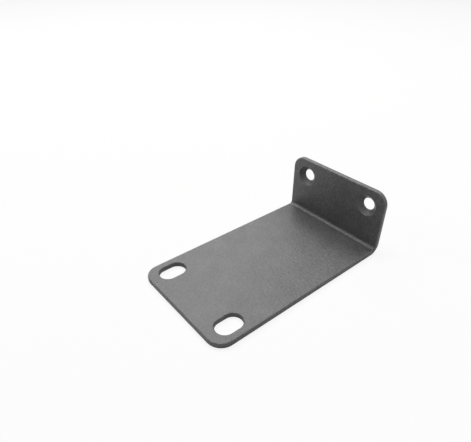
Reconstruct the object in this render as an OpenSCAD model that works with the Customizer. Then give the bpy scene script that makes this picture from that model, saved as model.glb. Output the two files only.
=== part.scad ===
// Rack mount ear bracket: one steel sheet, folded once at a right angle.
// The long leg lies on the floor and carries the two rack slots at its free
// end. The short flange rises at the other end and carries two countersunk
// holes, so that screws set from the side of the leg hold it to a device.
//
// Frame: X along the leg, Y across the ear, Z up. The origin is in the middle
// of the leg's length and width, on the face that the ear rests on.

/* [Outline] */
// Length of the ear, from the free end of the leg to the flange's outer face
ear_len = 75.2; // [60:0.2:100]
// Width of the ear, one rack unit less its clearance
ear_w = 43.7; // [42:0.1:60]
// Height of the flange above the floor
flange_h = 24.7; // [24:0.1:40]
// Radius of the two corners at the free end of the leg
leg_corner_r = 5.4; // [2:0.1:7]
// Radius of the two corners at the top of the flange
flange_corner_r = 5; // [2:0.1:7]

/* [Sheet] */
// Thickness of the sheet, its coat included
sheet_t = 2; // [1.9:0.1:3]
// Inside radius of the fold
fold_in_r = 1.2; // [0.8:0.1:3]
// Extra radius on the outside of the fold, where the bent sheet draws thin
fold_draw = 0.8; // [0:0.1:1.2]
// Rounding that deburring and the coat leave on the outline and in the slots
edge_r = 0.5; // [0.2:0.05:0.6]

/* [Rack slots] */
// Distance between the centres of the slots, the long step of rack holes
slot_pitch = 31.75; // [28:0.05:32]
// Distance from the free end of the leg to the centres of the slots
slot_inset = 8.7; // [7:0.1:14]
// Width of a slot, across the ear
slot_w = 6.6; // [5:0.1:8]
// Length of a slot, along the leg
slot_len = 9.7; // [9:0.1:12]

/* [Device screws] */
// Distance between the centres of the screw holes
screw_pitch = 29; // [26:0.1:31]
// Height of the screw holes above the floor
screw_h = 17.8; // [13:0.1:18]
// Diameter of the hole behind the countersink
screw_d = 4.6; // [4.5:0.1:5.5]
// Diameter of the countersink at the inner face of the flange
sink_d = 8.2; // [7:0.1:8.4]
// Full angle of the countersink
sink_angle = 90; // [90:5:120]

/* [Hidden] */
$fn = 96;
// How far a cut runs past the faces that it opens
past = 1;
fold_out_r = fold_in_r + sheet_t + fold_draw;
leg_len = ear_len - fold_out_r;
flange_len = flange_h - fold_out_r;
// Outer face of the flange and centre line of the slots, along the leg
face_x = ear_len / 2;
slot_x = slot_inset - ear_len / 2;
sink_slope = tan(sink_angle / 2);

// Section of solid from a flat cut at x = 0 to a rounded edge at x = reach
module edge_section(reach, depth = sheet_t) {
    square([reach - edge_r, depth]);
    translate([0, edge_r])
        square([reach, depth - 2 * edge_r]);
    for (level = [edge_r, depth - edge_r])
        translate([reach - edge_r, level])
            circle(edge_r);
}

// Section of the gap beside such an edge, from x = 0 to the edge at x = reach
module gap_section(reach, depth = sheet_t) {
    difference() {
        translate([0, -past])
            square([reach + edge_r, depth + 2 * past]);
        translate([reach, edge_r])
            square([edge_r, depth - 2 * edge_r]);
        for (level = [edge_r, depth - edge_r])
            translate([reach + edge_r, level])
                circle(edge_r);
    }
}

// Section across the whole ear, rounded at both edges
module ear_section() {
    edge_section(ear_w / 2);
    mirror([1, 0])
        edge_section(ear_w / 2);
}

// Flat of the sheet from x = 0 to a free end with two rounded corners
module tongue(reach, corner_r) {
    rotate([90, 0, 90])
        linear_extrude(reach - corner_r)
            ear_section();
    translate([reach - corner_r, 0, 0]) {
        rotate([90, 0, 0])
            linear_extrude(ear_w - 2 * corner_r, center = true)
                edge_section(corner_r);
        for (side = [-1, 1])
            translate([0, side * (ear_w / 2 - corner_r), 0])
                rotate_extrude(angle = 90, start = side > 0 ? 0 : -90)
                    edge_section(corner_r);
    }
}

// Cutter for the inside of the fold: a quarter turn about the Z axis, from -Y of
// it to +X, and the straight runs that lead away from both of its ends
module fold_gap(run) {
    rotate_extrude(angle = 90, start = -90)
        gap_section(fold_in_r, ear_w);
    rotate([90, 0, -90])
        linear_extrude(run)
            gap_section(fold_in_r, ear_w);
    translate([0, run, 0])
        rotate([90, 0, 0])
            linear_extrude(run)
                gap_section(fold_in_r, ear_w);
    translate([-run, 0, -past])
        cube([run, run, ear_w + 2 * past]);
}

// Quarter turn of the sheet about the Y axis, from below the axis to +X of it
module fold() {
    rotate([90, 0, 0])
        translate([0, 0, -ear_w / 2])
            difference() {
                rotate_extrude(angle = 90, start = -90)
                    edge_section(fold_out_r, ear_w);
                translate([fold_draw, -fold_draw, 0])
                    fold_gap(fold_draw + past);
            }
}

// Cutter for a rack slot that lies along X
module slot_cut() {
    half_run = (slot_len - slot_w) / 2;
    for (side = [-1, 1]) {
        translate([side * half_run, 0, 0])
            rotate_extrude(angle = 180, start = side > 0 ? -90 : 90)
                gap_section(slot_w / 2);
        rotate([90, 0, 90])
            linear_extrude(2 * half_run, center = true)
                mirror([side > 0 ? 0 : 1, 0])
                    gap_section(slot_w / 2);
    }
}

// Cutter for a screw hole along X, from the outer face at x = 0 inwards
module screw_cut() {
    sink_depth = (sink_d - screw_d) / 2 / sink_slope;
    rotate([0, -90, 0]) {
        translate([0, 0, -past])
            cylinder(d = screw_d, h = sheet_t + 2 * past);
        translate([0, 0, sheet_t - sink_depth])
            cylinder(d1 = screw_d, d2 = sink_d + 2 * past * sink_slope, h = sink_depth + past);
    }
}

module rack_ear() {
    color("dimgray")
        difference() {
            union() {
                translate([face_x - fold_out_r, 0, 0])
                    rotate([0, 0, 180])
                        tongue(leg_len, leg_corner_r);
                translate([face_x - fold_out_r, 0, fold_out_r])
                    fold();
                translate([face_x, 0, fold_out_r])
                    rotate([0, -90, 0])
                        tongue(flange_len, flange_corner_r);
            }
            for (side = [-1, 1]) {
                translate([slot_x, side * slot_pitch / 2, 0])
                    slot_cut();
                translate([face_x, side * screw_pitch / 2, screw_h])
                    screw_cut();
            }
        }
}

rack_ear();
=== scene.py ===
"""Rack mount ear bracket: one folded, powder coated steel sheet on a white sweep, under studio softboxes."""

import logging
import math
from dataclasses import dataclass, field
from enum import Enum
from typing import Any

import bpy
from mathutils import Euler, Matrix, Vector


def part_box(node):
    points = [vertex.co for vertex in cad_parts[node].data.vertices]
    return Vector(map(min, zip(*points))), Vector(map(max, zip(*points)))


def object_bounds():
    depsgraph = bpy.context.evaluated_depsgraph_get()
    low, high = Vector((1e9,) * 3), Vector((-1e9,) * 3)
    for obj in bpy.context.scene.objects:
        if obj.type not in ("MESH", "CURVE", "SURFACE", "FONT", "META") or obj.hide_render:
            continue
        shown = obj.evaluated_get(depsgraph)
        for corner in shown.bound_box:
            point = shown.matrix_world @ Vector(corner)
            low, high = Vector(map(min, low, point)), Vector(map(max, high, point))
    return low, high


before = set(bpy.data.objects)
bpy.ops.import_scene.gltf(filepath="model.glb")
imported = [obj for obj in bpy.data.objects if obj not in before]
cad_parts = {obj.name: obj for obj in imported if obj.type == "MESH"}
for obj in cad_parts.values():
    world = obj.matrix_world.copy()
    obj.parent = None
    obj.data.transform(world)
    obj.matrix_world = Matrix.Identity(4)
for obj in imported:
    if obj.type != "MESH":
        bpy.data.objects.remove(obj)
cad_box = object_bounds()

MM = 0.001
# Range that nearly all of a noise texture's values fill
NOISE_RANGE = (0.3, 0.7)
# Numbers of the colour sockets of a Mix node: both inputs and the result
MIX_FIRST, MIX_SECOND, MIX_RESULT = 6, 7, 2
log = logging.getLogger("rack_ear")


class LampShape(Enum):
    """Outline of a softbox's front."""

    PANEL = "RECTANGLE"
    ROUND = "DISK"


def linear(hex_code: str) -> tuple[float, float, float, float]:
    """Turn an sRGB hex code into a linear colour.

    Args:
        hex_code: Six hex digits, such as "4f4e4d".

    Returns:
        The linear red, green and blue, and an alpha of 1.
    """
    steps = [int(hex_code[i : i + 2], 16) / 255 for i in (0, 2, 4)]
    values = [s / 12.92 if s <= 0.04045 else ((s + 0.055) / 1.055) ** 2.4 for s in steps]
    return (values[0], values[1], values[2], 1.0)


def add_node(
    tree: bpy.types.NodeTree,
    kind: str,
    settings: dict[str, Any] | None = None,
    inputs: dict[str | int, Any] | None = None,
) -> bpy.types.Node:
    """Add a node, set it up and link it.

    Args:
        tree: Node tree that gets the node.
        kind: Type name of the node.
        settings: Values of the node's own attributes.
        inputs: Value or source socket for each named or numbered input.

    Returns:
        The new node.
    """
    node = tree.nodes.new(kind)
    for name, value in (settings or {}).items():
        setattr(node, name, value)
    for name, value in (inputs or {}).items():
        if isinstance(value, bpy.types.NodeSocket):
            tree.links.new(value, node.inputs[name])
        else:
            node.inputs[name].default_value = value
    return node


def new_material(name: str) -> tuple[bpy.types.Material, bpy.types.NodeTree]:
    """Make a material with an empty node tree.

    Args:
        name: Name of the material.

    Returns:
        The material and its tree.
    """
    material = bpy.data.materials.new(name)
    material.use_nodes = True
    material.node_tree.nodes.clear()
    return material, material.node_tree


def per_metre(size_mm: float) -> float:
    """Give the texture scale at which one cell of a pattern is size_mm wide."""
    return 1 / (size_mm * MM)


def add_noise(
    tree: bpy.types.NodeTree, place: bpy.types.NodeSocket, size_mm: float, detail: float
) -> bpy.types.NodeSocket:
    """Add a noise pattern.

    Args:
        tree: Node tree that gets the pattern.
        place: Coordinates in metres.
        size_mm: Width of one cell.
        detail: Number of finer layers.

    Returns:
        A socket whose value wanders about 0.5.
    """
    inputs = {"Vector": place, "Scale": per_metre(size_mm), "Detail": detail}
    return add_node(tree, "ShaderNodeTexNoise", inputs=inputs).outputs[0]


def spread_noise(
    tree: bpy.types.NodeTree, noise: bpy.types.NodeSocket, low: float, high: float
) -> bpy.types.NodeSocket:
    """Spread a noise pattern over a range.

    Args:
        tree: Node tree of the pattern.
        noise: The pattern.
        low: Value in its hollows.
        high: Value on its tops.

    Returns:
        The spread pattern.
    """
    hollow, top = NOISE_RANGE
    inputs = {"Value": noise, "From Min": hollow, "From Max": top, "To Min": low, "To Max": high}
    return add_node(tree, "ShaderNodeMapRange", inputs=inputs).outputs[0]


def mix_colours(
    tree: bpy.types.NodeTree, share: Any, first: Any, second: Any, blend: str = "MIX"
) -> bpy.types.NodeSocket:
    """Mix two colours.

    Args:
        tree: Node tree that gets the mix.
        share: Value or socket, 0 for the first colour and 1 for the second.
        first: Linear colour or socket.
        second: Linear colour or socket.
        blend: How the second colour is laid on the first.

    Returns:
        The mixed colour.
    """
    settings = {"data_type": "RGBA", "blend_type": blend}
    inputs = {"Factor": share, MIX_FIRST: first, MIX_SECOND: second}
    return add_node(tree, "ShaderNodeMix", settings, inputs).outputs[MIX_RESULT]


def add_bump(
    tree: bpy.types.NodeTree, height: bpy.types.NodeSocket, depth_mm: float, under: bpy.types.NodeSocket
) -> bpy.types.NodeSocket:
    """Raise and lower a surface by a pattern.

    Args:
        tree: Node tree of the pattern.
        height: The pattern.
        depth_mm: Rise from a value of 0 to a value of 1.
        under: Normal of the surface beneath it.

    Returns:
        The normal of the new surface.
    """
    inputs = {"Height": height, "Distance": depth_mm * MM, "Strength": 1.0, "Normal": under}
    return add_node(tree, "ShaderNodeBump", inputs=inputs).outputs[0]


@dataclass(frozen=True)
class PowderCoatedSteel:
    """Mild steel under a dark grey polyester powder coat, sprayed dry and cured.

    The powder melts into a satin skin with a fine orange peel, so lamps show
    as broad soft sheens and never as sharp images.
    """

    name: str = "powder_coated_steel"
    # The two greys between which the cured film drifts
    dark: str = "545455"
    light: str = "626060"
    # Pale specks, partly dust that has settled on the film and partly painted glints, and pinholes in it
    dust_and_glint: str = "82807d"
    pinhole: str = "2b2b2b"
    # Refraction of a cured polyester film, and its roughness in the grain's hollows and on its tops
    ior: float = 1.5
    rough_low: float = 0.4
    rough_high: float = 0.5
    # Weight of a smoother skin over the film, where the powder flowed out, and its roughness
    gloss: float = 0.22
    gloss_rough: float = 0.28
    # Clouds in the film's thickness
    cloud_mm: float = 7.0
    cloud_detail: float = 4.0
    # Grain of the powder, coarsened: grains of about 0.1 mm would blur into an even grey
    grain_mm: float = 0.8
    grain_detail: float = 3.0
    grain_depth_mm: float = 0.26
    # Share by which the grain's tops are paler and its hollows darker than the film: painted highlight on
    # the tops and painted shade in the hollows of the grain's relief
    grain_painted_shading: float = 0.2
    # Swells of the orange peel
    peel_mm: float = 2.6
    peel_detail: float = 1.0
    peel_depth_mm: float = 0.02
    # Spacing and half width of the pale specks of dust and painted glints, and of the pinholes
    speck_step_mm: float = 6.5
    speck_mm: float = 0.22
    # Where a speck starts to fade and where it is gone, in half widths
    speck_core: float = 0.4
    speck_edge: float = 2.0
    # Shifts, in metres, that set the two scatters apart
    dust_and_glint_shift: float = 0.31
    pinhole_shift: float = 0.57
    # Rounding that the film gives to the rims of the drilled holes
    rim_mm: float = 0.15
    rim_samples: int = 6

    def _specks(
        self, tree: bpy.types.NodeTree, place: bpy.types.NodeSocket, shift: float
    ) -> bpy.types.NodeSocket:
        """Mask scattered round specks.

        Args:
            tree: Node tree of the material.
            place: Coordinates in metres.
            shift: Shift of the scatter in metres, so that two calls don't coincide.

        Returns:
            A socket that is 1 inside a speck and 0 outside.
        """
        shifted = add_node(
            tree, "ShaderNodeMapping", inputs={"Vector": place, "Location": (shift, shift, shift)}
        )
        cells = add_node(
            tree,
            "ShaderNodeTexVoronoi",
            {"feature": "F1"},
            {"Vector": shifted.outputs[0], "Scale": per_metre(self.speck_step_mm)},
        )
        radius = self.speck_mm / self.speck_step_mm
        near = add_node(
            tree,
            "ShaderNodeMapRange",
            {"interpolation_type": "SMOOTHSTEP"},
            {
                "Value": cells.outputs["Distance"],
                "From Min": self.speck_edge * radius,
                "From Max": self.speck_core * radius,
            },
        )
        return near.outputs[0]

    def _colour(
        self, tree: bpy.types.NodeTree, place: bpy.types.NodeSocket, grain: bpy.types.NodeSocket
    ) -> bpy.types.NodeSocket:
        """Colour the film, with its clouds, its grain with painted highlight and shade, pale specks of dust
        and painted glints, and pinholes.

        Args:
            tree: Node tree of the material.
            place: Coordinates in metres.
            grain: Grain of the powder.

        Returns:
            The colour.
        """
        clouds = add_noise(tree, place, self.cloud_mm, self.cloud_detail)
        drift = spread_noise(tree, clouds, 0.0, 1.0)
        film = mix_colours(tree, drift, linear(self.dark), linear(self.light))
        # Painted highlight and shade: the film made paler on the grain's tops and darker in its hollows
        tone = spread_noise(tree, grain, 1 - self.grain_painted_shading, 1 + self.grain_painted_shading)
        grain_shaded_film = mix_colours(tree, 1.0, film, tone, "MULTIPLY")
        # Pale specks: partly dust on the film, partly painted glints
        dusty_and_glinting = mix_colours(tree, self._specks(tree, place, self.dust_and_glint_shift), grain_shaded_film, linear(self.dust_and_glint))
        holes = self._specks(tree, place, self.pinhole_shift)
        return mix_colours(tree, holes, dusty_and_glinting, linear(self.pinhole))

    def material(self) -> bpy.types.Material:
        """Build the coat's material.

        Returns:
            The material, for the sheet's slot.
        """
        material, tree = new_material(self.name)
        place = add_node(tree, "ShaderNodeTexCoord").outputs["Object"]
        grain = add_noise(tree, place, self.grain_mm, self.grain_detail)
        peel = add_noise(tree, place, self.peel_mm, self.peel_detail)
        rims = add_node(
            tree, "ShaderNodeBevel", {"samples": self.rim_samples}, {"Radius": self.rim_mm * MM}
        )
        swells = add_bump(tree, peel, self.peel_depth_mm, rims.outputs[0])
        skin = add_bump(tree, grain, self.grain_depth_mm, swells)
        coat = add_node(
            tree,
            "ShaderNodeBsdfPrincipled",
            inputs={
                "Base Color": self._colour(tree, place, grain),
                "Roughness": spread_noise(tree, grain, self.rough_low, self.rough_high),
                "IOR": self.ior,
                "Coat Weight": self.gloss,
                "Coat Roughness": self.gloss_rough,
                "Coat IOR": self.ior,
                "Normal": skin,
                "Coat Normal": swells,
            },
        )
        add_node(tree, "ShaderNodeOutputMaterial", inputs={"Surface": coat.outputs[0]})
        return material


@dataclass(frozen=True)
class MattPaper:
    """White background paper, calendered matt: it shows soft shadows and no sheen."""

    name: str = "matt_paper"
    # White of the sheet, and of the fibres that cloud it
    shade: str = "fdfdfc"
    fleck: str = "fafaf9"
    fibre_mm: float = 3.0
    fibre_detail: float = 2.0
    # Share of plain white in what the eye gets from it, as on a well lit sweep
    lift: float = 0.86

    def material(self) -> bpy.types.Material:
        """Build the paper's material.

        Returns:
            The material, for the floor.
        """
        material, tree = new_material(self.name)
        place = add_node(tree, "ShaderNodeTexCoord").outputs["Object"]
        fibres = add_noise(tree, place, self.fibre_mm, self.fibre_detail)
        tone = mix_colours(tree, fibres, linear(self.shade), linear(self.fleck))
        sheet = add_node(tree, "ShaderNodeBsdfDiffuse", inputs={"Color": tone})
        white = add_node(tree, "ShaderNodeEmission", inputs={"Color": linear("ffffff"), "Strength": 1.0})
        path = add_node(tree, "ShaderNodeLightPath")
        factors = {0: path.outputs["Is Camera Ray"], 1: self.lift}
        share = add_node(tree, "ShaderNodeMath", {"operation": "MULTIPLY"}, factors)
        parts = {0: share.outputs[0], 1: sheet.outputs[0], 2: white.outputs[0]}
        seen = add_node(tree, "ShaderNodeMixShader", inputs=parts)
        add_node(tree, "ShaderNodeOutputMaterial", inputs={"Surface": seen.outputs[0]})
        return material


@dataclass
class RackEar:
    """The folded sheet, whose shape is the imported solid's own."""

    node: str = "rack_ear"
    finish: PowderCoatedSteel = field(default_factory=PowderCoatedSteel)

    def dress(self) -> None:
        """Put the powder coat on every face of the sheet."""
        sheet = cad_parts[self.node]
        coat = self.finish.material()
        for slot in sheet.material_slots:
            slot.material = coat
        low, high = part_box(self.node)
        size = [round((b - a) / MM, 2) for a, b in zip(low, high)]
        log.info("%s: %s mm, %s", self.node, size, coat.name)


@dataclass
class Softbox:
    """A diffused lamp that faces the ear."""

    name: str
    shape: LampShape
    # Width and height of the front, or its diameter twice, in metres
    front: tuple[float, float]
    # Compass turn from +X towards +Y, and height above the floor, in degrees
    turn: float
    rise: float
    # Brightness of the front, where 1 is white
    glow: float
    # Distance from the ear, in metres
    reach: float = 0.9

    def area(self) -> float:
        """Give the area of the lamp's front in square metres."""
        wide, high = self.front
        return math.pi / 4 * wide * high if self.shape is LampShape.ROUND else wide * high

    def build(self) -> None:
        """Hang the lamp and aim it at the ear."""
        lamp = bpy.data.lights.new(self.name, "AREA")
        lamp.shape = self.shape.value
        lamp.size, lamp.size_y = self.front
        lamp.energy = self.glow * math.pi * self.area()
        turn, rise = math.radians(self.turn), math.radians(self.rise)
        level = math.cos(rise)
        way = Vector((math.cos(turn) * level, math.sin(turn) * level, math.sin(rise)))
        holder = bpy.data.objects.new(self.name, lamp)
        holder.location = way * self.reach
        holder.rotation_euler = way.to_track_quat("Z", "Y").to_euler()
        holder.visible_camera = False
        bpy.context.scene.collection.objects.link(holder)
        log.info("%s: glow %.2f", self.name, self.glow)


@dataclass
class Studio:
    """White sweep, white surroundings and the softboxes."""

    paper: MattPaper = field(default_factory=MattPaper)
    # Side of the square floor, in metres
    floor_size: float = 6.0
    # Light that the white room gives to matt surfaces, where 1 is white
    room_glow: float = 0.02
    lamps: tuple[Softbox, ...] = (
        Softbox("side_softbox", LampShape.PANEL, (0.42, 0.62), 92.0, 62.0, 5.4),
        Softbox("overhead_softbox", LampShape.ROUND, (0.36, 0.36), 354.0, 64.0, 9.0),
        Softbox("back_softbox", LampShape.ROUND, (0.36, 0.36), 56.0, 42.0, 3.7),
        Softbox("far_softbox", LampShape.ROUND, (0.36, 0.36), 130.0, 32.0, 2.2),
    )

    def build_floor(self) -> None:
        """Lay the paper at the height of the ear's resting face."""
        half = self.floor_size / 2
        mesh = bpy.data.meshes.new("floor")
        corners = [(-half, -half, 0), (half, -half, 0), (half, half, 0), (-half, half, 0)]
        mesh.from_pydata(corners, [], [(0, 1, 2, 3)])
        floor = bpy.data.objects.new("floor", mesh)
        floor.location.z = cad_box[0].z
        mesh.materials.append(self.paper.material())
        bpy.context.scene.collection.objects.link(floor)
        log.info("floor: %.1f m", self.floor_size)

    def build_room(self) -> None:
        """Make the surroundings white to the eye and in reflections, and dimmer as a light."""
        world = bpy.data.worlds.new("white_room")
        world.use_nodes = True
        tree = world.node_tree
        tree.nodes.clear()
        path = add_node(tree, "ShaderNodeLightPath")
        seen = add_node(
            tree,
            "ShaderNodeMath",
            {"operation": "MAXIMUM"},
            {0: path.outputs["Is Camera Ray"], 1: path.outputs["Is Glossy Ray"]},
        )
        shown = add_node(
            tree,
            "ShaderNodeMath",
            {"operation": "MAXIMUM"},
            {0: seen.outputs[0], 1: path.outputs["Is Transmission Ray"]},
        )
        levels = {"Value": shown.outputs[0], "To Min": self.room_glow, "To Max": 1.0}
        strength = add_node(tree, "ShaderNodeMapRange", inputs=levels)
        white = {"Color": linear("ffffff"), "Strength": strength.outputs[0]}
        light = add_node(tree, "ShaderNodeBackground", inputs=white)
        add_node(tree, "ShaderNodeOutputWorld", inputs={"Surface": light.outputs[0]})
        bpy.context.scene.world = world
        log.info("%s: glow %.2f", world.name, self.room_glow)

    def build(self) -> None:
        """Build the floor, the room and the lamps."""
        self.build_floor()
        self.build_room()
        for lamp in self.lamps:
            lamp.build()


@dataclass
class ProductCamera:
    """Camera that looks down on the ear from beyond the free end's near corner."""

    # Turn of the lens axis from +Y towards -X, and its fall below the level, in degrees
    azimuth: float = -39.41
    elevation: float = 35.28
    # Point that the lens axis meets, and the distance from it
    aim_mm: tuple[float, float, float] = (-11.91, 0.0, 20.09)
    distance_mm: float = 135.75
    lens_mm: float = 32.245
    sensor_mm: float = 36.0
    # Offset of the picture's middle from the lens axis, in picture widths
    shift: tuple[float, float] = (-0.00749, 0.02022)
    # Nearest and farthest distance that shows, in metres
    clip: tuple[float, float] = (0.01, 20.0)

    def build(self) -> None:
        """Set up the camera and make it the scene's."""
        lens = bpy.data.cameras.new("product_camera")
        lens.sensor_width = self.sensor_mm
        lens.lens = self.lens_mm
        lens.shift_x, lens.shift_y = self.shift
        lens.clip_start, lens.clip_end = self.clip
        holder = bpy.data.objects.new("product_camera", lens)
        turn = Euler((math.radians(90 - self.elevation), 0.0, math.radians(self.azimuth)))
        back = turn.to_matrix().col[2]
        holder.location = (Vector(self.aim_mm) + back * self.distance_mm) * MM
        holder.rotation_euler = turn
        bpy.context.scene.collection.objects.link(holder)
        bpy.context.scene.camera = holder
        log.info("product_camera: at %s", [round(c, 4) for c in holder.location])


def main() -> None:
    """Build the camera, the ear's finish and the studio, in that order."""
    logging.basicConfig(level=logging.INFO, format="%(name)s %(message)s")
    bpy.context.scene.view_settings.view_transform = "Standard"
    ProductCamera().build()
    RackEar().dress()
    Studio().build()


if __name__ == "__main__":
    main()
